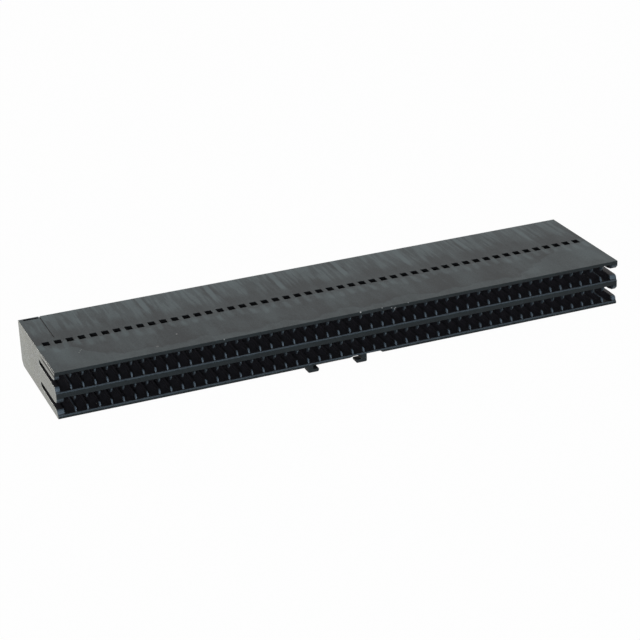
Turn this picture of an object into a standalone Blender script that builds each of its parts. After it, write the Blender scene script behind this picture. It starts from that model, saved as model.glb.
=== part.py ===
"""Empty receptacle housing for a flat flexible cable: two rows of fifty contact positions.

The housing is one moulding. The cable enters at the front (-Y), the pins of the mating
header enter at the rear (+Y), and +X runs along the rows. Z = 0 is the underside of the
two hooks, and the origin is the middle of the footprint.
"""

from math import cos, pi, sin

import bmesh
import bpy

MM = 0.001

# Contact grid
POSITIONS = 50
PITCH = 1.27 * MM
ROW_SPACING = 2.54 * MM
ROW_STAGGER = 0.25 * MM

# Cavities and the walls round them
CAVITY_WIDTH = 1.10 * MM
CAVITY_HEIGHT = 1.90 * MM
TOP_WALL = 0.36 * MM
BOTTOM_WALL = 0.36 * MM
END_WALL = 0.50 * MM
REAR_WALL = 1.10 * MM
DEPTH = 14.55 * MM
REAR_LOWER_CHAMFER = 0.50 * MM

# Cable slot, cut along the whole row through partitions and end walls
SLOT_REACH = 6.30 * MM
HANGING_RIB = 0.72 * MM
HANGING_RIB_AT_MOUTH = 0.22 * MM
UPPER_MOUTH_REACH = 1.08 * MM
FLOOR_RIB = 0.50 * MM
FLOOR_RIB_AT_REAR = 0.62 * MM
LOWER_MOUTH_REACH = 0.45 * MM
LIP_DROP = 0.10 * MM
LIP_REACH = 0.14 * MM
LIP_CREST = 0.02 * MM
SLOT_REAR_RADIUS = 0.20 * MM
MOUTH_STEPS = 2

# Windows over the contact latches
WINDOW_WIDTH = 0.74 * MM
WINDOW_LENGTH = 0.92 * MM
WINDOW_FROM_FRONT = 7.25 * MM
WINDOW_SHIFT = 0.08 * MM

# Openings for the header pins
PIN_OPENING = 0.66 * MM
PIN_LEAD_IN = 1.00 * MM
PIN_LEAD_IN_DEPTH = 0.30 * MM

# Hooks under the front edge, feet towards each other
HOOK_DROP = 0.68 * MM
HOOK_DEPTH = 1.00 * MM
HOOK_STEM = 0.60 * MM
HOOK_FOOT = 0.65 * MM
HOOK_FOOT_THICKNESS = 0.35 * MM
HOOK_ROUNDING = 0.16 * MM
TOE_CHAMFER = 0.10 * MM
ROUNDING_STEPS = 3
HOOK_CLEAR_WIDTH = 5.60 * MM
HOOK_CENTRE = -1.75 * MM

# Relief of the underside round the right hook, and the bevel between the hooks
RELIEF_WIDTH = 3.70 * MM
RELIEF_DEPTH = 1.60 * MM
RELIEF_HEIGHT = 0.20 * MM
RELIEF_SLANT = 0.25 * MM
EDGE_BEVEL = 0.16 * MM

# Tapered ledge along the front half of the left upper edge
LEDGE_WIDTH = 0.08 * MM
LEDGE_DROP_AT_FRONT = 0.13 * MM
LEDGE_LENGTH = 5.60 * MM

# Witness groove and key slot at the left rear corner of the top
GROOVE_WIDTH = 0.12 * MM
GROOVE_DEPTH = 0.10 * MM
GROOVE_LENGTH = 6.10 * MM
GROOVE_FROM_END = 2.24 * MM
KEY_LENGTH = 1.60 * MM
KEY_WIDTH = 0.40 * MM
KEY_DEPTH = 0.22 * MM
KEY_RIM = 0.14 * MM
KEY_GAP = 0.12 * MM

# Length by which a cutter passes the face that it opens
OVERSHOOT = 0.50 * MM

# Plastic: black, glass-filled, matt
PLASTIC_COLOUR = (0.045, 0.046, 0.049, 1.0)
PLASTIC_ROUGHNESS = 0.55

# Places that follow from the sizes above
HEIGHT = TOP_WALL + ROW_SPACING + CAVITY_HEIGHT + BOTTOM_WALL
LENGTH = (POSITIONS - 1) * PITCH + CAVITY_WIDTH + ROW_STAGGER + 2.0 * END_WALL
LEFT = -0.5 * LENGTH
RIGHT = 0.5 * LENGTH
FRONT = -0.5 * DEPTH
REAR = 0.5 * DEPTH
UNDERSIDE = HOOK_DROP
TOP = UNDERSIDE + HEIGHT
LEFT_STEM = HOOK_CENTRE - 0.5 * HOOK_CLEAR_WIDTH
RIGHT_STEM = HOOK_CENTRE + 0.5 * HOOK_CLEAR_WIDTH
HOOK_ROOT = UNDERSIDE + 0.5 * (RELIEF_HEIGHT + BOTTOM_WALL - LIP_DROP)
RELIEF_LEFT = RIGHT_STEM + HOOK_STEM - 0.5 * RELIEF_WIDTH

# Each row: sideways shift, and height of its cavity floor
UPPER_ROW = (-0.5 * ROW_STAGGER, UNDERSIDE + BOTTOM_WALL + ROW_SPACING)
LOWER_ROW = (0.5 * ROW_STAGGER, UNDERSIDE + BOTTOM_WALL)
ROWS = (UPPER_ROW, LOWER_ROW)


def clear_scene():
    """Remove every object that the file opened with."""
    for obj in list(bpy.data.objects):
        bpy.data.objects.remove(obj, do_unlink=True)


def position_centres(shift):
    """X of each contact position in a row with this sideways shift."""
    first = shift - 0.5 * (POSITIONS - 1) * PITCH
    return [first + index * PITCH for index in range(POSITIONS)]


def add_box(mesh, low, high):
    """Add a closed box between two opposite corners."""
    corners = [
        mesh.verts.new((x, y, z))
        for z in (low[2], high[2])
        for x, y in ((low[0], low[1]), (high[0], low[1]), (high[0], high[1]), (low[0], high[1]))
    ]
    bottom, top = corners[:4], corners[4:]
    mesh.faces.new(reversed(bottom))
    mesh.faces.new(top)
    for index in range(4):
        following = (index + 1) % 4
        mesh.faces.new((bottom[index], bottom[following], top[following], top[index]))


def add_loft(mesh, rings):
    """Add a closed solid through rings of equal point count, capped at both ends."""
    loops = [[mesh.verts.new(point) for point in ring] for ring in rings]
    mesh.faces.new(reversed(loops[0]))
    mesh.faces.new(loops[-1])
    for lower, upper in zip(loops, loops[1:]):
        count = len(lower)
        for index in range(count):
            following = (index + 1) % count
            mesh.faces.new((lower[index], lower[following], upper[following], upper[index]))


def add_prism_along_x(mesh, outline, start, end):
    """Add a prism whose (y, z) outline runs anticlockwise seen from +X."""
    add_loft(mesh, [[(x, y, z) for y, z in outline] for x in (start, end)])


def add_prism_along_y(mesh, outline, start, end):
    """Add a prism whose (x, z) outline runs anticlockwise seen from -Y."""
    add_loft(mesh, [[(x, y, z) for x, z in outline] for y in (end, start)])


def make_object(name, mesh):
    """Turn a bmesh into an object in the scene, with its faces pointing out."""
    bmesh.ops.recalc_face_normals(mesh, faces=mesh.faces)
    data = bpy.data.meshes.new(name)
    mesh.to_mesh(data)
    mesh.free()
    obj = bpy.data.objects.new(name, data)
    bpy.context.scene.collection.objects.link(obj)
    return obj


def apply_tool(target, tool, operation):
    """Cut the tool out of the target, or join it on, and keep the tool as a wire guide."""
    tool.hide_render = True
    tool.display_type = "WIRE"
    modifier = target.modifiers.new(tool.name, "BOOLEAN")
    modifier.operation = operation
    modifier.solver = "EXACT"
    modifier.object = tool


def arc(centre, reach, rise, start, end, steps):
    """Points on an elliptical arc between two angles, both ends included."""
    angles = [start + (end - start) * index / steps for index in range(steps + 1)]
    return [(centre[0] + reach * cos(angle), centre[1] + rise * sin(angle)) for angle in angles]


def body():
    """The outer block, with the lower rear edge chamfered."""
    outline = [
        (FRONT, UNDERSIDE),
        (REAR - REAR_LOWER_CHAMFER, UNDERSIDE),
        (REAR, UNDERSIDE + REAR_LOWER_CHAMFER),
        (REAR, TOP),
        (FRONT, TOP),
    ]
    mesh = bmesh.new()
    add_prism_along_x(mesh, outline, LEFT, RIGHT)
    return make_object("housing", mesh)


def cavities():
    """One channel for each contact, open at the front and closed by the rear wall."""
    mesh = bmesh.new()
    for shift, floor in ROWS:
        for centre in position_centres(shift):
            low = (centre - 0.5 * CAVITY_WIDTH, FRONT - OVERSHOOT, floor)
            high = (centre + 0.5 * CAVITY_WIDTH, REAR - REAR_WALL, floor + CAVITY_HEIGHT)
            add_box(mesh, low, high)
    return make_object("cavity_cutter", mesh)


def slot_outline(floor):
    """Side view of a cable slot: lip, flared mouth, then a slightly narrowing blind slot."""
    ceiling = floor + CAVITY_HEIGHT
    rear = FRONT + SLOT_REACH
    upper_edge = ceiling - HANGING_RIB
    crest = floor + LIP_CREST
    lower_mouth = arc(
        (FRONT + LOWER_MOUTH_REACH, crest),
        LOWER_MOUTH_REACH - LIP_REACH,
        FLOOR_RIB - LIP_CREST,
        pi,
        0.5 * pi,
        MOUTH_STEPS,
    )
    upper_mouth = arc(
        (FRONT + UPPER_MOUTH_REACH, ceiling - HANGING_RIB_AT_MOUTH),
        UPPER_MOUTH_REACH,
        HANGING_RIB - HANGING_RIB_AT_MOUTH,
        1.5 * pi,
        pi,
        MOUTH_STEPS,
    )
    rear_end = [
        (rear - SLOT_REAR_RADIUS, floor + FLOOR_RIB_AT_REAR),
        (rear, floor + FLOOR_RIB_AT_REAR + 0.5 * SLOT_REAR_RADIUS),
        (rear, upper_edge - 0.5 * SLOT_REAR_RADIUS),
        (rear - SLOT_REAR_RADIUS, upper_edge),
    ]
    outside = FRONT - OVERSHOOT
    below = [(outside, floor - LIP_DROP), (FRONT, floor - LIP_DROP)]
    above = (outside, ceiling - HANGING_RIB_AT_MOUTH)
    return [*below, *lower_mouth, *rear_end, *upper_mouth, above]


def cable_slots():
    """The two slots, which leave ribs above and below and open both end walls."""
    mesh = bmesh.new()
    for _, floor in ROWS:
        add_prism_along_x(mesh, slot_outline(floor), LEFT - OVERSHOOT, RIGHT + OVERSHOOT)
    return make_object("slot_cutter", mesh)


def square_ring(centre_x, y, centre_z, side):
    """Corners of a square across the Y axis."""
    half = 0.5 * side
    return [
        (centre_x - half, y, centre_z - half),
        (centre_x + half, y, centre_z - half),
        (centre_x + half, y, centre_z + half),
        (centre_x - half, y, centre_z + half),
    ]


def pin_openings():
    """Square openings through the rear wall, each with a tapered lead-in."""
    taper = (PIN_LEAD_IN - PIN_OPENING) / PIN_LEAD_IN_DEPTH
    stations = (
        (REAR - REAR_WALL - OVERSHOOT, PIN_OPENING),
        (REAR - PIN_LEAD_IN_DEPTH, PIN_OPENING),
        (REAR + OVERSHOOT, PIN_LEAD_IN + taper * OVERSHOOT),
    )
    mesh = bmesh.new()
    for shift, floor in ROWS:
        middle = floor + 0.5 * CAVITY_HEIGHT
        for centre in position_centres(shift):
            add_loft(mesh, [square_ring(centre, y, middle, side) for y, side in stations])
    return make_object("pin_cutter", mesh)


def latch_windows():
    """Windows through the top wall for the upper row, and through the bottom for the lower."""
    middle = FRONT + WINDOW_FROM_FRONT
    half_length = 0.5 * WINDOW_LENGTH
    half_width = 0.5 * WINDOW_WIDTH
    levels = (
        (UPPER_ROW[0], UPPER_ROW[1] + 0.5 * CAVITY_HEIGHT, TOP + OVERSHOOT),
        (LOWER_ROW[0], UNDERSIDE - OVERSHOOT, LOWER_ROW[1] + 0.5 * CAVITY_HEIGHT),
    )
    mesh = bmesh.new()
    for shift, low_z, high_z in levels:
        for centre in position_centres(shift):
            window = centre + WINDOW_SHIFT
            low = (window - half_width, middle - half_length, low_z)
            high = (window + half_width, middle + half_length, high_z)
            add_box(mesh, low, high)
    return make_object("window_cutter", mesh)


def end_ledge():
    """A ledge at the left upper edge that deepens towards the front."""
    slope = LEDGE_DROP_AT_FRONT / LEDGE_LENGTH
    outline = [
        (FRONT - OVERSHOOT, TOP - LEDGE_DROP_AT_FRONT - slope * OVERSHOOT),
        (FRONT + LEDGE_LENGTH + OVERSHOOT, TOP + slope * OVERSHOOT),
        (FRONT + LEDGE_LENGTH + OVERSHOOT, TOP + OVERSHOOT),
        (FRONT - OVERSHOOT, TOP + OVERSHOOT),
    ]
    mesh = bmesh.new()
    add_prism_along_x(mesh, outline, LEFT - OVERSHOOT, LEFT + LEDGE_WIDTH)
    return make_object("ledge_cutter", mesh)


def corner_marks():
    """The witness groove at the left rear of the top, and the key slot beside it."""
    mesh = bmesh.new()
    groove = LEFT + GROOVE_FROM_END
    add_box(
        mesh,
        (groove, REAR - GROOVE_LENGTH, TOP - GROOVE_DEPTH),
        (groove + GROOVE_WIDTH, REAR + OVERSHOOT, TOP + OVERSHOOT),
    )
    key_end = groove - KEY_GAP
    add_box(
        mesh,
        (key_end - KEY_LENGTH, REAR - KEY_RIM - KEY_WIDTH, TOP - KEY_DEPTH),
        (key_end, REAR - KEY_RIM, TOP + OVERSHOOT),
    )
    return make_object("corner_cutter", mesh)


def underside_relief():
    """The shallow pocket round the right hook, with slanted sides."""
    slant = RELIEF_SLANT / RELIEF_HEIGHT
    flare = slant * OVERSHOOT
    right = RELIEF_LEFT + RELIEF_WIDTH
    outline = [
        (RELIEF_LEFT - flare, UNDERSIDE - OVERSHOOT),
        (right + flare, UNDERSIDE - OVERSHOOT),
        (right - RELIEF_SLANT, UNDERSIDE + RELIEF_HEIGHT),
        (RELIEF_LEFT + RELIEF_SLANT, UNDERSIDE + RELIEF_HEIGHT),
    ]
    mesh = bmesh.new()
    add_prism_along_y(mesh, outline, FRONT - OVERSHOOT, FRONT + RELIEF_DEPTH)
    return make_object("relief_cutter", mesh)


def edge_bevel():
    """The bevelled lower front edge, from the left hook into the pocket."""
    outline = [
        (FRONT - OVERSHOOT, UNDERSIDE - OVERSHOOT),
        (FRONT + EDGE_BEVEL + OVERSHOOT, UNDERSIDE - OVERSHOOT),
        (FRONT - OVERSHOOT, UNDERSIDE + EDGE_BEVEL + OVERSHOOT),
    ]
    mesh = bmesh.new()
    add_prism_along_x(mesh, outline, LEFT_STEM, 0.5 * (RELIEF_LEFT + RIGHT_STEM))
    return make_object("bevel_cutter", mesh)


def hook_outline(stem, side):
    """Front view of one hook from its stem's inner face; side is the way the foot points."""
    bottom = UNDERSIDE - HOOK_DROP
    outer = stem - side * HOOK_STEM
    toe = stem + side * HOOK_FOOT
    heel_centre = (outer + side * HOOK_ROUNDING, bottom + HOOK_ROUNDING)
    heel = arc(heel_centre, -side * HOOK_ROUNDING, -HOOK_ROUNDING, 0.0, 0.5 * pi, ROUNDING_STEPS)
    foot_top = bottom + HOOK_FOOT_THICKNESS
    points = [
        *heel,
        (toe - side * TOE_CHAMFER, bottom),
        (toe, bottom + TOE_CHAMFER),
        (toe, foot_top),
        (stem, foot_top),
        (stem, HOOK_ROOT),
        (outer, HOOK_ROOT),
    ]
    return points if side > 0 else points[::-1]


def hooks():
    """Both hooks, flush with the front face and rooted in the bottom wall."""
    mesh = bmesh.new()
    for stem, side in ((LEFT_STEM, 1.0), (RIGHT_STEM, -1.0)):
        add_prism_along_y(mesh, hook_outline(stem, side), FRONT, FRONT + HOOK_DEPTH)
    return make_object("hook_shape", mesh)


def plastic():
    """Matt black glass-filled thermoplastic."""
    material = bpy.data.materials.new("black_thermoplastic")
    material.use_nodes = True
    shader = material.node_tree.nodes["Principled BSDF"]
    shader.inputs["Base Color"].default_value = PLASTIC_COLOUR
    shader.inputs["Roughness"].default_value = PLASTIC_ROUGHNESS
    shader.inputs["Metallic"].default_value = 0.0
    material.diffuse_color = PLASTIC_COLOUR
    return material


def build_housing():
    """Assemble the moulding from its block, its cuts and its hooks."""
    housing = body()
    apply_tool(housing, cavities(), "DIFFERENCE")
    apply_tool(housing, cable_slots(), "DIFFERENCE")
    apply_tool(housing, pin_openings(), "DIFFERENCE")
    apply_tool(housing, latch_windows(), "DIFFERENCE")
    apply_tool(housing, end_ledge(), "DIFFERENCE")
    apply_tool(housing, corner_marks(), "DIFFERENCE")
    apply_tool(housing, underside_relief(), "DIFFERENCE")
    apply_tool(housing, edge_bevel(), "DIFFERENCE")
    apply_tool(housing, hooks(), "UNION")
    housing.data.materials.append(plastic())
    return housing


clear_scene()
build_housing()
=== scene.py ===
"""Studio scene for an empty receptacle housing of a flat flexible cable.

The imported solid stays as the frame.  A copy of it with softened arrises stands for the
node, in matt glass-filled thermoplastic that carries the marks of its moulding.
"""

import logging
import math
from dataclasses import dataclass
from enum import Enum

import bpy
from mathutils import Euler, Matrix, Vector


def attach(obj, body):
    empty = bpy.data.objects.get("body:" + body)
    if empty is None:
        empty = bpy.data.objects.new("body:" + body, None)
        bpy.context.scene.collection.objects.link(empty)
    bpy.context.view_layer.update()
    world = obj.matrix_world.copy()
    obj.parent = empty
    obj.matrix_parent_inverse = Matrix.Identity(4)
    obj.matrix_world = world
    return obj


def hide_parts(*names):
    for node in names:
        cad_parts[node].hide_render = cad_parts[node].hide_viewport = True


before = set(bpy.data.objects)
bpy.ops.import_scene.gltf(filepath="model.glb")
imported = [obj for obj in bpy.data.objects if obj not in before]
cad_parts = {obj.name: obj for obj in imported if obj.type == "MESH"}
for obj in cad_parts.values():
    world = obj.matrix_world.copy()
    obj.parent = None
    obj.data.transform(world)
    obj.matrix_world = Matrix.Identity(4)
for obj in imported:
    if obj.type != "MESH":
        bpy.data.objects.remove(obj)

MM = 0.001
ROOT_BODY = "root"

LOG = logging.getLogger("receptacle_scene")


class SeenBy(Enum):
    """Rays that see the white background instead of the lit surface."""

    CAMERA = "Is Camera Ray"
    GLOSSY = "Is Glossy Ray"
    TRANSMISSION = "Is Transmission Ray"


class Reading(Enum):
    """What a moulding mark follows over the skin."""

    CLOUD = "broad cloud along the flow"
    STREAK = "streak along the flow"
    TICK = "short fine streak"
    GRAIN = "texture of the mould"
    BLOTCH = "patches of coarser texture"
    DEPTH = "distance from the middle towards the pin side, wandering a little"
    LAST_FILL = "distance past the line where the melt arrived last"
    FROM_WELD = "distance from the weld line between two gates"
    FROM_WEB = "distance from the web between two windows"


Readings = dict[Reading, bpy.types.NodeSocket]
Limit = tuple[bpy.types.NodeSocket, float, float]


def linear_colour(code: str) -> tuple[float, float, float, float]:
    """Turn an sRGB hex colour into linear RGBA.

    Args:
        code: Six hex digits with a leading hash.

    Returns:
        The colour as Blender's sockets take it.
    """
    shares = [int(code[place : place + 2], 16) / 255.0 for place in (1, 3, 5)]
    linear = [
        share / 12.92 if share <= 0.04045 else ((share + 0.055) / 1.055) ** 2.4
        for share in shares
    ]
    return (*linear, 1.0)


def add_node(
    tree: bpy.types.NodeTree,
    kind: str,
    settings: dict[str, object] | None = None,
    inputs: dict[str | int, object] | None = None,
) -> bpy.types.Node:
    """Add a shader node with its settings, values and links.

    Args:
        tree: The node tree that gets the node.
        kind: The node's type name.
        settings: Values of the node's own properties, by name.
        inputs: For each input, by name or index, an output socket to link or a value.

    Returns:
        The new node.
    """
    node = tree.nodes.new(kind)
    for name, value in (settings or {}).items():
        setattr(node, name, value)
    for name, value in (inputs or {}).items():
        if isinstance(value, bpy.types.NodeSocket):
            tree.links.new(value, node.inputs[name])
        else:
            node.inputs[name].default_value = value
    return node


def new_tree(name: str) -> tuple[bpy.types.Material, bpy.types.NodeTree]:
    """Make an empty node material.

    Args:
        name: The material's name.

    Returns:
        The material and its tree.
    """
    material = bpy.data.materials.new(name)
    material.use_nodes = True
    material.node_tree.nodes.clear()
    return material, material.node_tree


def select_only(piece: bpy.types.Object) -> None:
    """Deselect everything, then select one object and make it active.

    Args:
        piece: The object.
    """
    bpy.ops.object.select_all(action="DESELECT")
    piece.select_set(True)
    bpy.context.view_layer.objects.active = piece


@dataclass(frozen=True)
class SkinPoint:
    """Sockets that say where a point of the skin lies, and the tree that holds them.

    Outwards is the distance from the middle towards either end.
    """

    tree: bpy.types.NodeTree
    place: bpy.types.NodeSocket
    x: bpy.types.NodeSocket
    y: bpy.types.NodeSocket
    z: bpy.types.NodeSocket
    outwards: bpy.types.NodeSocket


@dataclass(frozen=True)
class Texture:
    """A noise pattern: what it is read as, its size along each axis and its octaves."""

    reads: Reading
    size: tuple[float, float, float]
    octaves: float


@dataclass(frozen=True)
class FlowMark:
    """A mark of the moulding, which makes the skin paler, or darker if negative.

    It fades in from start to full.  A band gives the depths where the mark begins, where
    it is full from and to, and where it ends.
    """

    reads: Reading
    start: float
    full: float
    paleness: float
    band: tuple[float, float, float, float] | None = None


@dataclass(frozen=True)
class Speck:
    """A crumb of dust or a nick: its place and radius in millimetres, and how white it is."""

    place: tuple[float, float, float]
    radius: float
    whiteness: float


@dataclass(frozen=True)
class HighlightZone:
    """A zone painted pale as a painted highlight in every row of cells, or in a part of its
    length.
    """

    heights: tuple[float, float]
    depth: float
    paleness: float
    across: tuple[float, float] | None = None


@dataclass(frozen=True)
class GlassFilledThermoplastic:
    """Black glass-filled polyester, injection moulded in a spark-eroded mould.

    Glass fibre close under the skin makes it a matt charcoal instead of a glossy black.
    The melt enters at eight gates on the pin side, 7.62 mm apart.  Each leaves a pale line
    between darker flanks that fades towards the windows, with clouds and streaks along the
    flow, and a paler band where the melt arrived last, along the mouths and at both ends.
    """

    name: str = "black_glass_filled_thermoplastic"
    dark: str = "#13181a"
    pale: str = "#4d5859"
    # the share of the pale colour to which the marks are added
    base_tone: float = -0.07
    roughness: float = 0.42
    roughness_swing: float = 0.08
    ior: float = 1.55
    specular_level: float = 0.15

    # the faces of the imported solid
    mouth_plane: float = -7.275 * MM
    pin_plane: float = 7.275 * MM
    end_plane: float = 32.29 * MM
    underside: float = 0.68 * MM
    top: float = 5.84 * MM
    # the base of the lower row of cells, and the distance to the upper row
    row_base: float = 0.84 * MM
    row_spacing: float = 2.54 * MM

    textures: tuple[Texture, ...] = (
        # clouds and streaks, as wide and as long as they show on the top face
        Texture(Reading.CLOUD, (2.4 * MM, 9.0 * MM, 2.4 * MM), 3.0),
        Texture(Reading.STREAK, (0.50 * MM, 6.0 * MM, 0.50 * MM), 2.0),
        Texture(Reading.TICK, (0.45 * MM, 3.0 * MM, 0.45 * MM), 1.0),
        # spark-eroded texture is about 0.03 mm, which is too fine to show, so it is drawn
        # coarser, and its patches too
        Texture(Reading.GRAIN, (0.14 * MM, 0.14 * MM, 0.14 * MM), 2.0),
        Texture(Reading.BLOTCH, (0.40 * MM, 0.40 * MM, 0.40 * MM), 2.0),
    )
    texture_roughness: float = 0.55
    relief_strength: float = 0.6
    grain_depth: float = 0.006 * MM
    # how far the clouds make the depth wander
    wander: float = 4.0 * MM

    gate_spacing: float = 7.62 * MM
    gate_line_width: float = 0.42 * MM
    gate_line_core: float = 0.14 * MM
    gate_line_start: float = 1.4 * MM
    gate_line_full: float = 4.4 * MM
    gate_line_bend: float = 0.3 * MM
    gate_line_paleness: float = 1.35
    # the skin is darker on both sides of a gate line
    gate_flank_width: float = 1.0 * MM
    gate_flank_core: float = 0.5 * MM
    gate_flank_paleness: float = -0.28
    # the lines of the outer gates are fainter, and every line is between the clouds
    outer_gates: float = 20.0 * MM
    outer_gate_share: float = 0.25
    gate_cloud_span: tuple[float, float] = (0.34, 0.60)
    gate_cloud_share: float = 0.55

    # the windows split the flow, which closes again a little to the left of each web
    window_pitch: float = 1.27 * MM
    web_shift: float = 0.11 * MM

    # the melt arrived last along a scalloped line, which swings back to the windows at
    # both ends
    last_fill_line: float = -5.8 * MM
    last_fill_scallop: float = 0.5 * MM
    last_fill_shift: float = 1.4 * MM
    last_fill_from_middle: float = 22.0 * MM
    last_fill_run: float = 10.0 * MM
    last_fill_slope: float = 0.64

    marks: tuple[FlowMark, ...] = (
        FlowMark(Reading.CLOUD, 0.40, 0.60, 0.14),
        FlowMark(Reading.STREAK, 0.42, 0.62, 0.08),
        FlowMark(Reading.GRAIN, 0.36, 0.64, 0.22),
        # two steps paler towards the pin side
        FlowMark(Reading.DEPTH, 2.2 * MM, 4.0 * MM, 0.20),
        FlowMark(Reading.DEPTH, 5.0 * MM, 6.8 * MM, 0.12),
        # long streaks behind the windows, and short ones along the rear edge
        FlowMark(Reading.STREAK, 0.45, 0.58, 0.35, (1.4 * MM, 3.4 * MM, 8.0 * MM, 9.0 * MM)),
        FlowMark(Reading.TICK, 0.44, 0.58, 0.14, (4.6 * MM, 5.6 * MM, 9.0 * MM, 9.5 * MM)),
        # short streaks in front of the windows, the plainest ones in front of the webs
        FlowMark(Reading.TICK, 0.43, 0.55, 0.16, (-2.4 * MM, -1.5 * MM, -0.6 * MM, -0.4 * MM)),
        FlowMark(
            reads=Reading.FROM_WEB,
            start=0.44 * MM,
            full=0.10 * MM,
            paleness=0.40,
            band=(-2.6 * MM, -1.8 * MM, -0.8 * MM, -0.3 * MM),
        ),
        # weld lines in the front part
        FlowMark(
            reads=Reading.FROM_WELD,
            start=2.2 * MM,
            full=0.2 * MM,
            paleness=0.22,
            band=(-6.4 * MM, -5.2 * MM, -1.6 * MM, -0.6 * MM),
        ),
        # darker just before the line where the melt arrived last, and paler past it
        FlowMark(Reading.LAST_FILL, -1.8 * MM, -0.1 * MM, -0.09),
        FlowMark(Reading.LAST_FILL, 0.0 * MM, 0.45 * MM, 0.34),
    )
    # painted shade: the flat mouth faces are painted darker than the skin, for the little light
    # that falls on them
    mouth_face_painted_shade: float = 0.60
    # the pin side lay against the gates and is even all over
    pin_face_tones: tuple[float, float] = (0.22, 0.40)
    pin_face_span: tuple[float, float] = (0.36, 0.64)
    # how far behind the mouth face or the pin face its own tone begins and is full
    flat_face_fade: tuple[float, float] = (0.040 * MM, 0.016 * MM)

    # painted light: both end faces are painted pale from the outermost twentieth of a millimetre
    # inwards, for the light that falls on the end
    end_painted_light: str = "#6a6b66"
    end_from: float = 32.23 * MM
    end_full: float = 32.28 * MM
    end_mottles: tuple[tuple[Reading, float], ...] = (
        (Reading.GRAIN, 0.75),
        (Reading.BLOTCH, 0.72),
        (Reading.CLOUD, 0.85),
    )
    end_mottle_span: tuple[float, float] = (0.40, 0.60)
    # how matt the flat of the end faces is: polished by the rubbing, between, and not rubbed
    end_roughness: tuple[float, float, float] = (0.26, 0.46, 0.74)
    end_roughness_span: tuple[float, float] = (0.38, 0.62)
    end_polish_from: float = 32.284 * MM
    end_polish_full: float = 32.289 * MM
    # how deep the patches of the end faces are, in grain depths
    end_patch_depth: float = 6.0

    # how wide the edge of a zone with a limit of its own is
    zone_fade: float = 0.04 * MM
    # painted highlights: the lip, the noses of the floor ribs and of the hanging ribs, and
    # the crests of the floor ribs at the right and at the left end are painted pale where light
    # catches them
    nose_painted_highlight: str = "#626e75"
    noses: tuple[HighlightZone, ...] = (
        HighlightZone((0.06 * MM, 0.26 * MM), -7.12 * MM, 0.40),
        HighlightZone((0.26 * MM, 0.78 * MM), -6.70 * MM, 0.85),
        HighlightZone((1.50 * MM, 2.04 * MM), -6.70 * MM, 0.42),
        HighlightZone((0.64 * MM, 0.80 * MM), -1.80 * MM, 0.55, (30.30 * MM, 30.66 * MM)),
        HighlightZone((0.64 * MM, 0.80 * MM), -1.80 * MM, 0.25, (-30.66 * MM, -30.30 * MM)),
    )
    nose_fade: float = 0.25 * MM
    # every highlight zone is full at this distance behind the mouth face
    nose_clearance: float = 0.10 * MM

    # painted shade: the walls inside the housing, and the band over the left slot, are painted
    # near-black for the shade there
    painted_shade_black: str = "#1d1c1d"
    cell_roughness: float = 0.45
    # how far behind a face the inside begins and is full, and how far below a window's rim
    cell_fade: tuple[float, float] = (0.040 * MM, 0.080 * MM)
    window_rim_fade: tuple[float, float] = (0.012 * MM, 0.036 * MM)
    # painted light: between the noses of the ribs and the windows the walls are painted a little
    # paler, for the light that enters at the mouths
    deep_wall_painted_light: str = "#353335"
    deep_from: float = -7.1 * MM
    deep_full: float = -5.4 * MM
    deep_full_until: float = -2.6 * MM
    deep_until: float = -1.6 * MM
    # painted shade: under the windows the cells are painted black, for the shade in them
    window_well_painted_shade: str = "#09090a"
    well_from: float = 1.4 * MM
    well_full: float = 1.1 * MM
    # the hooks behind their front faces lie in the shade of the body
    hook_shade: str = "#0c0c0d"
    hook_height_fade: tuple[float, float] = (0.020 * MM, 0.060 * MM)
    # painted shade: a dark band over the left slot, by height, fading out behind the slot, where
    # the end face gets less light
    shade_band_heights: tuple[float, float] = (5.24 * MM, 5.52 * MM)
    shade_band_from: float = -1.4 * MM
    shade_band_full: float = -3.0 * MM
    # how matt the shade band and the hooks' shaded faces are, so that neither shines
    dull_roughness: float = 0.95

    dust: str = "#d8d8d2"
    specks: tuple[Speck, ...] = (
        Speck((-14.25, -7.27, 5.82), 0.07, 0.60),
        Speck((1.05, -7.27, 5.82), 0.09, 0.95),
        Speck((3.55, -7.27, 5.82), 0.07, 0.45),
        Speck((6.60, -7.27, 5.82), 0.06, 0.45),
        Speck((4.65, -7.27, 5.62), 0.07, 0.50),
        Speck((5.08, -7.27, 5.44), 0.12, 0.95),
        Speck((-18.25, -3.80, 5.84), 0.09, 0.50),
        Speck((-21.00, -5.85, 5.84), 0.16, 0.16),
        Speck((-28.64, -3.60, 5.84), 0.07, 0.34),
        Speck((-28.44, -3.30, 5.84), 0.07, 0.42),
        Speck((-28.26, -3.06, 5.84), 0.06, 0.34),
    )
    # where a speck begins and is full, in its radii
    speck_edge: tuple[float, float] = (1.3, 0.6)
    # dust is a few hundredths of a millimetre, and is drawn coarser so that it shows
    dust_cell: float = 6.0 * MM
    dust_radius: float = 0.06 * MM
    dust_core: float = 0.03 * MM
    dust_share: float = 0.30
    dust_whiteness: float = 0.30

    def build(self) -> bpy.types.Material:
        """Make the material.

        Returns:
            The finished material.
        """
        material, tree = new_tree(self.name)
        point = self._point(tree)
        readings = self._readings(point)
        in_cells = self._in_cells(point)
        bump = add_node(
            tree,
            "ShaderNodeBump",
            inputs={
                "Strength": self.relief_strength,
                "Distance": self.grain_depth,
                "Height": self._relief(point, readings),
            },
        ).outputs[0]
        shader = add_node(
            tree,
            "ShaderNodeBsdfPrincipled",
            inputs={
                "Base Color": self._colour(point, readings, in_cells),
                "Roughness": self._roughness(point, readings, in_cells),
                "IOR": self.ior,
                "Specular IOR Level": self.specular_level,
                "Metallic": 0.0,
                "Normal": bump,
            },
        )
        add_node(tree, "ShaderNodeOutputMaterial", inputs={"Surface": shader.outputs[0]})
        return material

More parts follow.
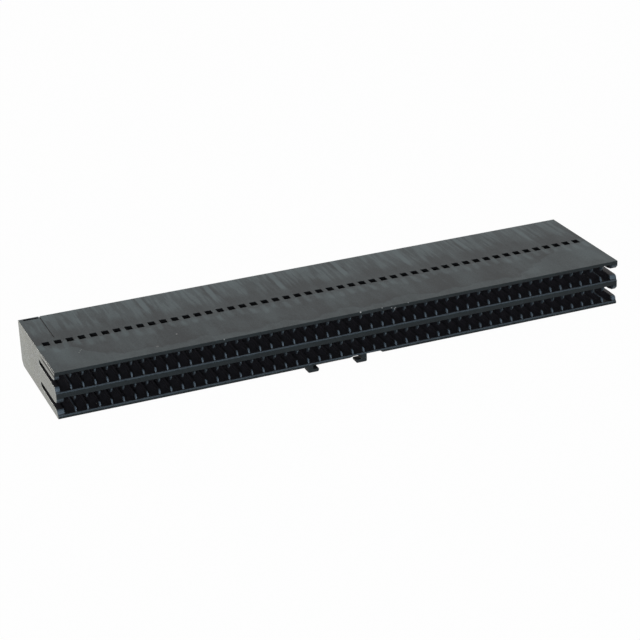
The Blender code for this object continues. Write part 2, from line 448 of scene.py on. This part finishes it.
    def _point(self, tree: bpy.types.NodeTree) -> SkinPoint:
        """Read the object coordinates.

        Args:
            tree: The material's tree.

        Returns:
            The sockets that say where a point of the skin lies.
        """
        place = add_node(tree, "ShaderNodeTexCoord").outputs["Object"]
        axes = add_node(tree, "ShaderNodeSeparateXYZ", inputs={"Vector": place}).outputs
        outwards = add_node(tree, "ShaderNodeMath", {"operation": "ABSOLUTE"}, {0: axes["X"]})
        return SkinPoint(tree, place, axes["X"], axes["Y"], axes["Z"], outwards.outputs[0])

    def _colour(
        self, point: SkinPoint, readings: Readings, in_cells: bpy.types.NodeSocket
    ) -> bpy.types.NodeSocket:
        """Lay the colours over each other, from the marked skin to the dust.

        Args:
            point: Where a point of the skin lies.
            readings: A socket for each reading.
            in_cells: One on the walls inside the housing.

        Returns:
            The colour.
        """
        tree = point.tree
        deep = (
            (point.y, self.deep_from, self.deep_full),
            (point.y, self.deep_until, self.deep_full_until),
        )
        well = (
            (point.y, -self.well_from, -self.well_full),
            (point.y, self.well_from, self.well_full),
        )
        colour = linear_colour(self.dark)
        for share, other in (
            (self._tone(point, readings), self.pale),
            # painted shade inside the cells
            (in_cells, self.painted_shade_black),
            (self._inside_hooks(point), self.hook_shade),
            # painted light on the walls deeper in the cells
            (self._within(tree, deep, in_cells), self.deep_wall_painted_light),
            # painted shade in the cells under the windows
            (self._within(tree, well, in_cells), self.window_well_painted_shade),
            # painted highlights on the lip, the noses and the crests
            (self._noses(point), self.nose_painted_highlight),
            # painted light on the end faces
            (self._painted_light_on_ends(point, readings), self.end_painted_light),
            # painted shade: the dark band over the left slot
            (self._shade_band(point), self.painted_shade_black),
            (self._dust(point), self.dust),
        ):
            colour = add_node(
                tree,
                "ShaderNodeMix",
                {"data_type": "RGBA"},
                {"Factor": share, 6: colour, 7: linear_colour(other)},
            ).outputs[2]
        return colour

    def _roughness(
        self, point: SkinPoint, readings: Readings, in_cells: bpy.types.NodeSocket
    ) -> bpy.types.NodeSocket:
        """Work out how matt the skin is.

        It is clouded all over and mottled on the flat of the end faces, and dull in the
        shade band over the left slot and inside the hooks.

        Args:
            point: Where a point of the skin lies.
            readings: A socket for each reading.
            in_cells: One on the walls inside the housing.

        Returns:
            The roughness.
        """
        tree = point.tree
        swing = 0.5 * self.roughness_swing
        rough = add_node(
            tree,
            "ShaderNodeMapRange",
            inputs={
                "Value": readings[Reading.CLOUD],
                "To Min": self.roughness + swing,
                "To Max": self.roughness - swing,
            },
        ).outputs[0]
        flat = ((point.outwards, self.end_polish_from, self.end_polish_full),)
        for share, other in (
            (in_cells, self.cell_roughness),
            (self._within(tree, flat, 1.0), self._end_roughness(point, readings)),
            (self._shade_band(point), self.dull_roughness),
            (self._inside_hooks(point), self.dull_roughness),
        ):
            rough = add_node(
                tree,
                "ShaderNodeMapRange",
                inputs={"Value": share, "To Min": rough, "To Max": other},
            ).outputs[0]
        return rough

    def _end_roughness(self, point: SkinPoint, readings: Readings) -> bpy.types.NodeSocket:
        """Work out how matt the flat of an end face is, mottled by grain and patches.

        Args:
            point: Where a point of the skin lies.
            readings: A socket for each reading.

        Returns:
            The roughness.
        """
        smoothest, middling, mattest = self.end_roughness
        start, full = self.end_roughness_span
        grainy = add_node(
            point.tree,
            "ShaderNodeMapRange",
            inputs={
                "Value": readings[Reading.GRAIN],
                "From Min": start,
                "From Max": full,
                "To Min": middling,
                "To Max": mattest,
            },
        ).outputs[0]
        return add_node(
            point.tree,
            "ShaderNodeMapRange",
            inputs={
                "Value": readings[Reading.BLOTCH],
                "From Min": start,
                "From Max": full,
                "To Min": smoothest,
                "To Max": grainy,
            },
        ).outputs[0]

    def _relief(self, point: SkinPoint, readings: Readings) -> bpy.types.NodeSocket:
        """Fine relief of the skin, which is deeper and in patches on the two end faces.

        Args:
            point: Where a point of the skin lies.
            readings: A socket for each reading.

        Returns:
            The height, in grain depths.
        """
        on_ends = ((point.outwards, self.end_from, self.end_full),)
        patches = self._within(point.tree, on_ends, readings[Reading.BLOTCH])
        return add_node(
            point.tree,
            "ShaderNodeMath",
            {"operation": "MULTIPLY_ADD"},
            {0: patches, 1: self.end_patch_depth, 2: readings[Reading.GRAIN]},
        ).outputs[0]

    def _readings(self, point: SkinPoint) -> Readings:
        """Work out everything that a mark can follow.

        Args:
            point: Where a point of the skin lies.

        Returns:
            A socket for each reading.
        """
        tree = point.tree
        readings: Readings = {}
        for texture in self.textures:
            scaled = add_node(
                tree,
                "ShaderNodeMapping",
                inputs={
                    "Vector": point.place,
                    "Scale": Vector([1.0 / size for size in texture.size]),
                },
            ).outputs[0]
            readings[texture.reads] = add_node(
                tree,
                "ShaderNodeTexNoise",
                inputs={
                    "Vector": scaled,
                    "Scale": 1.0,
                    "Detail": texture.octaves,
                    "Roughness": self.texture_roughness,
                },
            ).outputs[0]
        strayed = add_node(
            tree,
            "ShaderNodeMapRange",
            {"clamp": False},
            {
                "Value": readings[Reading.CLOUD],
                "To Min": -0.5 * self.wander,
                "To Max": 0.5 * self.wander,
            },
        ).outputs[0]
        shifted = add_node(
            tree, "ShaderNodeMath", {"operation": "ADD"}, {0: point.x, 1: self.web_shift}
        ).outputs[0]
        for reading, operation, value, other in (
            (Reading.DEPTH, "ADD", point.y, strayed),
            (Reading.FROM_WELD, "PINGPONG", point.x, 0.5 * self.gate_spacing),
            (Reading.FROM_WEB, "PINGPONG", shifted, 0.5 * self.window_pitch),
        ):
            readings[reading] = add_node(
                tree, "ShaderNodeMath", {"operation": operation}, {0: value, 1: other}
            ).outputs[0]
        readings[Reading.LAST_FILL] = self._past_last_fill(point, readings)
        return readings

    def _past_last_fill(self, point: SkinPoint, readings: Readings) -> bpy.types.NodeSocket:
        """Distance past the line where the melt arrived last.

        Args:
            point: Where a point of the skin lies.
            readings: The readings made so far.

        Returns:
            Metres past the line, positive towards the mouths and the ends.
        """
        tree = point.tree
        along = add_node(
            tree, "ShaderNodeMath", {"operation": "ADD"}, {0: point.x, 1: self.last_fill_shift}
        ).outputs[0]
        away = add_node(tree, "ShaderNodeMath", {"operation": "ABSOLUTE"}, {0: along}).outputs[0]
        swing = add_node(
            tree,
            "ShaderNodeMapRange",
            inputs={
                "Value": away,
                "From Min": self.last_fill_from_middle,
                "From Max": self.last_fill_from_middle + self.last_fill_run,
                "To Min": self.last_fill_line,
                "To Max": self.last_fill_line + self.last_fill_run * self.last_fill_slope,
            },
        ).outputs[0]
        scallop = add_node(
            tree,
            "ShaderNodeMapRange",
            {"interpolation_type": "SMOOTHSTEP"},
            {
                "Value": readings[Reading.FROM_WELD],
                "From Max": 0.5 * self.gate_spacing,
                "To Min": 0.5 * self.last_fill_scallop,
                "To Max": -0.5 * self.last_fill_scallop,
            },
        ).outputs[0]
        line = add_node(
            tree, "ShaderNodeMath", {"operation": "ADD"}, {0: swing, 1: scallop}
        ).outputs[0]
        return add_node(
            tree,
            "ShaderNodeMath",
            {"operation": "SUBTRACT"},
            {0: line, 1: readings[Reading.DEPTH]},
        ).outputs[0]

    def _tone(self, point: SkinPoint, readings: Readings) -> bpy.types.NodeSocket:
        """Add up the marks and the gate lines; give the pin face its own tone and the mouth faces
        a painted shade.

        Args:
            point: Where a point of the skin lies.
            readings: A socket for each reading.

        Returns:
            Share of the pale colour.
        """
        tree = point.tree
        total = self._gate_lines(point, readings[Reading.CLOUD])
        for mark in self.marks:
            total = add_node(
                tree,
                "ShaderNodeMath",
                {"operation": "ADD"},
                {0: total, 1: self._mark(tree, readings, mark)},
            ).outputs[0]
        summed = add_node(
            tree,
            "ShaderNodeMath",
            {"operation": "ADD", "use_clamp": True},
            {0: total, 1: self.base_tone},
        ).outputs[0]
        begins, full = self.flat_face_fade
        # painted shade: the mouth faces get a darker tone
        darker = add_node(
            tree,
            "ShaderNodeMapRange",
            inputs={
                "Value": point.y,
                "From Min": self.mouth_plane + begins,
                "From Max": self.mouth_plane + full,
                "To Min": 1.0,
                "To Max": 1.0 - self.mouth_face_painted_shade,
            },
        ).outputs[0]
        marked = add_node(
            tree, "ShaderNodeMath", {"operation": "MULTIPLY"}, {0: summed, 1: darker}
        ).outputs[0]
        even = add_node(
            tree,
            "ShaderNodeMapRange",
            inputs={
                "Value": readings[Reading.GRAIN],
                "From Min": self.pin_face_span[0],
                "From Max": self.pin_face_span[1],
                "To Min": self.pin_face_tones[0],
                "To Max": self.pin_face_tones[1],
            },
        ).outputs[0]
        return add_node(
            tree,
            "ShaderNodeMapRange",
            inputs={
                "Value": point.y,
                "From Min": self.pin_plane - begins,
                "From Max": self.pin_plane - full,
                "To Min": marked,
                "To Max": even,
            },
        ).outputs[0]

    def _mark(
        self, tree: bpy.types.NodeTree, readings: Readings, mark: FlowMark
    ) -> bpy.types.NodeSocket:
        """Draw one mark, and keep it within its band of depth where it has one.

        Args:
            tree: The material's tree.
            readings: A socket for each reading.
            mark: The mark.

        Returns:
            How much paler the mark makes the skin.
        """
        drawn = add_node(
            tree,
            "ShaderNodeMapRange",
            {"interpolation_type": "SMOOTHSTEP"},
            {
                "Value": readings[mark.reads],
                "From Min": mark.start,
                "From Max": mark.full,
                "To Max": mark.paleness,
            },
        ).outputs[0]
        if mark.band is None:
            return drawn
        begins, full_from, full_to, ends = mark.band
        for edge, inner in ((begins, full_from), (ends, full_to)):
            inside = add_node(
                tree,
                "ShaderNodeMapRange",
                {"interpolation_type": "SMOOTHSTEP"},
                {"Value": readings[Reading.DEPTH], "From Min": edge, "From Max": inner},
            ).outputs[0]
            drawn = add_node(
                tree, "ShaderNodeMath", {"operation": "MULTIPLY"}, {0: drawn, 1: inside}
            ).outputs[0]
        return drawn

    def _gate_lines(
        self, point: SkinPoint, cloud: bpy.types.NodeSocket
    ) -> bpy.types.NodeSocket:
        """The pale line and dark flanks from each gate towards the windows.

        Args:
            point: Where a point of the skin lies.
            cloud: Broad clouds, which bend and fade the lines.

        Returns:
            How much paler the lines make the skin.
        """
        tree = point.tree
        middle = 0.5 * self.gate_spacing
        bend = add_node(
            tree,
            "ShaderNodeMapRange",
            {"clamp": False},
            {
                "Value": cloud,
                "To Min": -0.5 * self.gate_line_bend,
                "To Max": 0.5 * self.gate_line_bend,
            },
        ).outputs[0]
        bent = add_node(
            tree, "ShaderNodeMath", {"operation": "ADD"}, {0: point.x, 1: bend}
        ).outputs[0]
        away = add_node(
            tree, "ShaderNodeMath", {"operation": "PINGPONG"}, {0: bent, 1: middle}
        ).outputs[0]
        lines = 0.0
        for width, core, paleness in (
            (self.gate_line_width, self.gate_line_core, self.gate_line_paleness),
            (self.gate_flank_width, self.gate_flank_core, self.gate_flank_paleness),
        ):
            drawn = add_node(
                tree,
                "ShaderNodeMapRange",
                {"interpolation_type": "SMOOTHSTEP"},
                {
                    "Value": away,
                    "From Min": middle - width,
                    "From Max": middle - core,
                    "To Max": paleness,
                },
            ).outputs[0]
            lines = add_node(
                tree, "ShaderNodeMath", {"operation": "ADD"}, {0: lines, 1: drawn}
            ).outputs[0]
        outermost = self.outer_gates + self.gate_line_width
        for value, start, full, least in (
            (point.y, self.gate_line_start, self.gate_line_full, 0.0),
            (point.outwards, outermost, self.outer_gates, self.outer_gate_share),
            (cloud, *self.gate_cloud_span, self.gate_cloud_share),
        ):
            share = add_node(
                tree,
                "ShaderNodeMapRange",
                {"interpolation_type": "SMOOTHSTEP"},
                {"Value": value, "From Min": start, "From Max": full, "To Min": least},
            ).outputs[0]
            lines = add_node(
                tree, "ShaderNodeMath", {"operation": "MULTIPLY"}, {0: share, 1: lines}
            ).outputs[0]
        return lines

    def _painted_light_on_ends(self, point: SkinPoint, readings: Readings) -> bpy.types.NodeSocket:
        """The two end faces, painted pale as painted light, and a little mottled.

        Args:
            point: Where a point of the skin lies.
            readings: A socket for each reading.

        Returns:
            How much painted light the end faces get.
        """
        tree = point.tree
        start, full = self.end_mottle_span
        end_light = self._within(tree, ((point.outwards, self.end_from, self.end_full),), 1.0)
        for reading, least in self.end_mottles:
            share = add_node(
                tree,
                "ShaderNodeMapRange",
                inputs={
                    "Value": readings[reading],
                    "From Min": start,
                    "From Max": full,
                    "To Min": least,
                },
            ).outputs[0]
            end_light = add_node(
                tree, "ShaderNodeMath", {"operation": "MULTIPLY"}, {0: end_light, 1: share}
            ).outputs[0]
        return end_light

    def _noses(self, point: SkinPoint) -> bpy.types.NodeSocket:
        """Lip, noses and crests of the ribs, painted pale as painted highlights.

        Args:
            point: Where a point of the skin lies.

        Returns:
            How pale they are.
        """
        height = self._height_in_row(point)
        total = 0.0
        for zone in self.noses:
            low, high = zone.heights
            full = max(zone.depth - self.nose_fade, self.mouth_plane + self.nose_clearance)
            limits = [
                (point.y, zone.depth, full),
                (height, low, low + self.zone_fade),
                (height, high, high - self.zone_fade),
            ]
            if zone.across is not None:
                left, right = zone.across
                limits.append((point.x, left, left + self.zone_fade))
                limits.append((point.x, right, right - self.zone_fade))
            total = add_node(
                point.tree,
                "ShaderNodeMath",
                {"operation": "MAXIMUM"},
                {0: total, 1: self._within(point.tree, tuple(limits), zone.paleness)},
            ).outputs[0]
        return total

    def _height_in_row(self, point: SkinPoint) -> bpy.types.NodeSocket:
        """Height over the base of whichever row of cells a point belongs to.

        Args:
            point: Where a point of the skin lies.

        Returns:
            The height in metres.
        """
        above = add_node(
            point.tree, "ShaderNodeMath", {"operation": "SUBTRACT"}, {0: point.z, 1: self.row_base}
        ).outputs[0]
        return add_node(
            point.tree, "ShaderNodeMath", {"operation": "MODULO"}, {0: above, 1: self.row_spacing}
        ).outputs[0]

    def _in_cells(self, point: SkinPoint) -> bpy.types.NodeSocket:
        """One on every wall inside the housing, and zero on its outer skin.

        Args:
            point: Where a point of the skin lies.

        Returns:
            The share.
        """
        begins, full = self.cell_fade
        rim, well = self.window_rim_fade
        limits = (
            (point.y, self.mouth_plane + begins, self.mouth_plane + full),
            (point.y, self.pin_plane - begins, self.pin_plane - full),
            (point.z, self.underside + begins, self.underside + full),
            (point.z, self.top - rim, self.top - well),
            (point.outwards, self.end_plane - begins, self.end_plane - full),
        )
        return self._within(point.tree, limits, 1.0)

    def _inside_hooks(self, point: SkinPoint) -> bpy.types.NodeSocket:
        """One on the hooks behind their front faces.

        Args:
            point: Where a point of the skin lies.

        Returns:
            The share.
        """
        below, deepest = self.hook_height_fade
        begins, full = self.cell_fade
        limits = (
            (point.z, self.underside - below, self.underside - deepest),
            (point.y, self.mouth_plane + begins, self.mouth_plane + full),
        )
        return self._within(point.tree, limits, 1.0)

    def _shade_band(self, point: SkinPoint) -> bpy.types.NodeSocket:
        """The painted shade over the left slot: a dark band on the end face.

        Args:
            point: Where a point of the skin lies.

        Returns:
            How strong the band is.
        """
        low, high = self.shade_band_heights
        limits = (
            (point.x, -self.end_from, -self.end_full),
            (point.y, self.shade_band_from, self.shade_band_full),
            (point.z, low - self.zone_fade, low + self.zone_fade),
            (point.z, high + self.zone_fade, high - self.zone_fade),
        )
        return self._within(point.tree, limits, 1.0)

    def _within(
        self,
        tree: bpy.types.NodeTree,
        limits: tuple[Limit, ...],
        amount: float | bpy.types.NodeSocket,
    ) -> bpy.types.NodeSocket:
        """Fade a share in between limits.

        Args:
            tree: The material's tree.
            limits: What each limit reads, where it begins and where it is full.
            amount: The share inside all the limits.

        Returns:
            The share, which is zero outside any of the limits.
        """
        share = amount
        for value, start, full in limits:
            share = add_node(
                tree,
                "ShaderNodeMapRange",
                inputs={"Value": value, "From Min": start, "From Max": full, "To Max": share},
            ).outputs[0]
        return share

    def _dust(self, point: SkinPoint) -> bpy.types.NodeSocket:
        """Nicks and crumbs where the photograph shows them, and sparse dust all over.

        Args:
            point: Where a point of the skin lies.

        Returns:
            How white the dust makes the skin.
        """
        tree = point.tree
        cells = add_node(
            tree,
            "ShaderNodeTexVoronoi",
            inputs={"Vector": point.place, "Scale": 1.0 / self.dust_cell},
        ).outputs
        pick = add_node(tree, "ShaderNodeSeparateColor", inputs={0: cells["Color"]}).outputs[0]
        kept = add_node(
            tree, "ShaderNodeMath", {"operation": "LESS_THAN"}, {0: pick, 1: self.dust_share}
        ).outputs[0]
        crumb = add_node(
            tree,
            "ShaderNodeMapRange",
            inputs={
                "Value": cells["Distance"],
                "From Min": self.dust_radius / self.dust_cell,
                "From Max": self.dust_core / self.dust_cell,
                "To Max": self.dust_whiteness,
            },
        ).outputs[0]
        total = add_node(
            tree, "ShaderNodeMath", {"operation": "MULTIPLY"}, {0: crumb, 1: kept}
        ).outputs[0]
        begins, full = self.speck_edge
        for speck in self.specks:
            away = add_node(
                tree,
                "ShaderNodeVectorMath",
                {"operation": "DISTANCE"},
                {0: point.place, 1: Vector(speck.place) * MM},
            ).outputs["Value"]
            drawn = add_node(
                tree,
                "ShaderNodeMapRange",
                inputs={
                    "Value": away,
                    "From Min": begins * speck.radius * MM,
                    "From Max": full * speck.radius * MM,
                    "To Max": speck.whiteness,
                },
            ).outputs[0]
            total = add_node(
                tree, "ShaderNodeMath", {"operation": "MAXIMUM"}, {0: total, 1: drawn}
            ).outputs[0]
        return total


@dataclass
class HousingMoulding:
    """The moulded housing: the CAD solid's own shape, with its arrises softened."""

    finish: GlassFilledThermoplastic
    node: str = "housing"
    slot: str = "black_thermoplastic"
    piece_name: str = "housing_moulding"
    merge_distance: float = 0.0005 * MM
    flat_angle: float = math.radians(0.5)
    edge_radius: float = 0.030 * MM
    edge_segments: int = 2
    sharp_angle: float = math.radians(20.0)
    shading_angle: float = math.radians(35.0)

    def build(self) -> bpy.types.Object:
        """Copy, soften and dress the housing, and put it on its body.

        Returns:
            The finished piece.
        """
        piece = self._copy_solid()
        self._join_flats(piece)
        self._soften_edges(piece)
        piece.data.materials.clear()
        piece.data.materials.append(self.finish.build())
        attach(piece, ROOT_BODY)
        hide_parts(self.node)
        return piece

    def _copy_solid(self) -> bpy.types.Object:
        """Make a free copy of the CAD node with a mesh of its own.

        Returns:
            The copy, at the origin, unturned and without the node's own properties.
        """
        select_only(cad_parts[self.node])
        bpy.ops.object.duplicate(linked=False)
        piece = bpy.context.view_layer.objects.active
        piece.parent = None
        piece.matrix_world = Matrix.Identity(4)
        for key in list(piece.keys()):
            del piece[key]
        piece.name = self.piece_name
        piece.data.name = self.piece_name
        return piece

    def _join_flats(self, piece: bpy.types.Object) -> None:
        """Merge the loose triangles and join those that lie in one plane.

        Args:
            piece: The copy of the solid.
        """
        select_only(piece)
        bpy.ops.object.mode_set(mode="EDIT")
        bpy.ops.mesh.select_all(action="SELECT")
        bpy.ops.mesh.remove_doubles(threshold=self.merge_distance)
        bpy.ops.mesh.dissolve_limited(angle_limit=self.flat_angle)
        bpy.ops.object.mode_set(mode="OBJECT")

    def _soften_edges(self, piece: bpy.types.Object) -> None:
        """Round every arris as the mould's own edges leave it.

        Args:
            piece: The copy of the solid.
        """
        bevel = piece.modifiers.new("arris", "BEVEL")
        bevel.width = self.edge_radius
        bevel.segments = self.edge_segments
        bevel.limit_method = "ANGLE"
        bevel.angle_limit = self.sharp_angle
        bevel.use_clamp_overlap = False
        bevel.loop_slide = False
        bevel.miter_outer = "MITER_SHARP"
        select_only(piece)
        bpy.ops.object.modifier_apply(modifier=bevel.name)
        bpy.ops.object.shade_smooth_by_angle(angle=self.shading_angle)
        # the large flats keep their own normals, so that no shading fans out from the windows
        even = piece.modifiers.new("even_shading", "WEIGHTED_NORMAL")
        even.keep_sharp = True
        bpy.ops.object.modifier_apply(modifier=even.name)


@dataclass(frozen=True)
class Softbox:
    """A rectangular lamp that looks at the middle of the object."""

    name: str
    place: tuple[float, float, float]
    size: tuple[float, float]
    power: float
    colour: str = "#ffffff"

    def build(self) -> None:
        """Hang the lamp."""
        light = bpy.data.lights.new(self.name, "AREA")
        light.shape = "RECTANGLE"
        light.size, light.size_y = self.size
        light.energy = self.power
        light.color = linear_colour(self.colour)[:3]
        lamp = bpy.data.objects.new(self.name, light)
        lamp.location = self.place
        lamp.rotation_euler = Vector(self.place).to_track_quat("Z", "Y").to_euler()
        bpy.context.scene.collection.objects.link(lamp)


@dataclass
class Studio:
    """White sweep, soft lamps and a white surround."""

    floor_half_width: float = 1.5
    floor_colour: str = "#a0a0a0"
    floor_white_share: float = 0.985
    surround_colour: str = "#ffffff"
    surround_light: float = 0.08
    lamps: tuple[Softbox, ...] = (
        # low and thin, so that it lights the left end but not the ribs through the slots
        Softbox("left_softbox", (-0.62, 0.68, 0.010), (0.40, 0.012), 13.2, "#fffcf4"),
        Softbox("overhead_softbox", (0.00, 0.18, 0.50), (0.30, 0.30), 1.0),
        Softbox("high_front_softbox", (0.20, -0.245, 0.51), (0.24, 0.24), 0.30, "#e0ecff"),
        Softbox("camera_fill", (-0.125, -0.312, 0.125), (0.06, 0.06), 0.62, "#e6f0ff"),
    )

    def build(self) -> None:
        """Make the floor, the lamps and the world."""
        self._floor()
        for lamp in self.lamps:
            lamp.build()
        self._world()

    def _seen(self, tree: bpy.types.NodeTree) -> bpy.types.NodeSocket:
        """Tell the rays that should see white from the rest.

        Args:
            tree: The tree of the floor's material or of the world.

        Returns:
            One for every ray that should see white, else zero.
        """
        path = add_node(tree, "ShaderNodeLightPath")
        seen = path.outputs[SeenBy.CAMERA.value]
        for ray in (SeenBy.GLOSSY, SeenBy.TRANSMISSION):
            seen = add_node(
                tree,
                "ShaderNodeMath",
                {"operation": "MAXIMUM"},
                {0: seen, 1: path.outputs[ray.value]},
            ).outputs[0]
        return seen

    def _floor(self) -> None:
        """Lay a plain pale floor that keeps the object's shadow."""
        bpy.ops.object.select_all(action="DESELECT")
        width = 2.0 * self.floor_half_width
        bpy.ops.mesh.primitive_plane_add(size=width, location=(0.0, 0.0, 0.0))
        floor = bpy.context.view_layer.objects.active
        floor.name = "studio_floor"
        material, tree = new_tree("matt_white_sweep")
        lit = add_node(
            tree, "ShaderNodeBsdfDiffuse", inputs={"Color": linear_colour(self.floor_colour)}
        ).outputs[0]
        white = add_node(tree, "ShaderNodeEmission", inputs={"Strength": 1.0}).outputs[0]
        share = add_node(
            tree,
            "ShaderNodeMath",
            {"operation": "MULTIPLY"},
            {0: self._seen(tree), 1: self.floor_white_share},
        ).outputs[0]
        both = add_node(tree, "ShaderNodeMixShader", inputs={0: share, 1: lit, 2: white})
        add_node(tree, "ShaderNodeOutputMaterial", inputs={"Surface": both.outputs[0]})
        floor.data.materials.append(material)

    def _world(self) -> None:
        """White for the rays that see it, and a dim even light for the rest."""
        world = bpy.data.worlds.new("white_surround")
        bpy.context.scene.world = world
        world.use_nodes = True
        tree = world.node_tree
        tree.nodes.clear()
        strength = add_node(
            tree,
            "ShaderNodeMapRange",
            inputs={"Value": self._seen(tree), "To Min": self.surround_light, "To Max": 1.0},
        ).outputs[0]
        shade = add_node(
            tree,
            "ShaderNodeBackground",
            inputs={"Color": linear_colour(self.surround_colour), "Strength": strength},
        )
        add_node(tree, "ShaderNodeOutputWorld", inputs={"Surface": shade.outputs[0]})


@dataclass
class ProductCamera:
    """The photograph's view: from the left, above, with a slight roll."""

    name: str = "product_camera"
    place: tuple[float, float, float] = (-0.06970, -0.17298, 0.08495)
    azimuth: float = math.radians(-21.75)
    elevation: float = math.radians(23.91)
    roll: float = math.radians(-2.10)
    lens: float = 104.86
    sensor: float = 36.0
    nearest: float = 0.005
    farthest: float = 10.0

    def build(self) -> None:
        """Make the camera and give it to the scene."""
        data = bpy.data.cameras.new(self.name)
        data.lens = self.lens
        data.sensor_width = self.sensor
        data.clip_start = self.nearest
        data.clip_end = self.farthest
        camera = bpy.data.objects.new(self.name, data)
        camera.location = self.place
        pitch = 0.5 * math.pi - self.elevation
        level = Euler((pitch, 0.0, self.azimuth), "XYZ").to_matrix()
        camera.rotation_euler = (level @ Matrix.Rotation(self.roll, 3, "Z")).to_euler()
        bpy.context.scene.collection.objects.link(camera)
        bpy.context.scene.camera = camera


def main() -> None:
    """Build the housing, the studio and the camera."""
    logging.basicConfig(level=logging.INFO, format="%(name)s: %(message)s")
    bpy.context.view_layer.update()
    bpy.context.scene.view_settings.view_transform = "Standard"
    piece = HousingMoulding(finish=GlassFilledThermoplastic()).build()
    LOG.info("%s: %d faces", piece.name, len(piece.data.polygons))
    Studio().build()
    LOG.info("studio: floor, lamps and surround")
    ProductCamera().build()
    LOG.info("camera: the photograph's view")


if __name__ == "__main__":
    main()
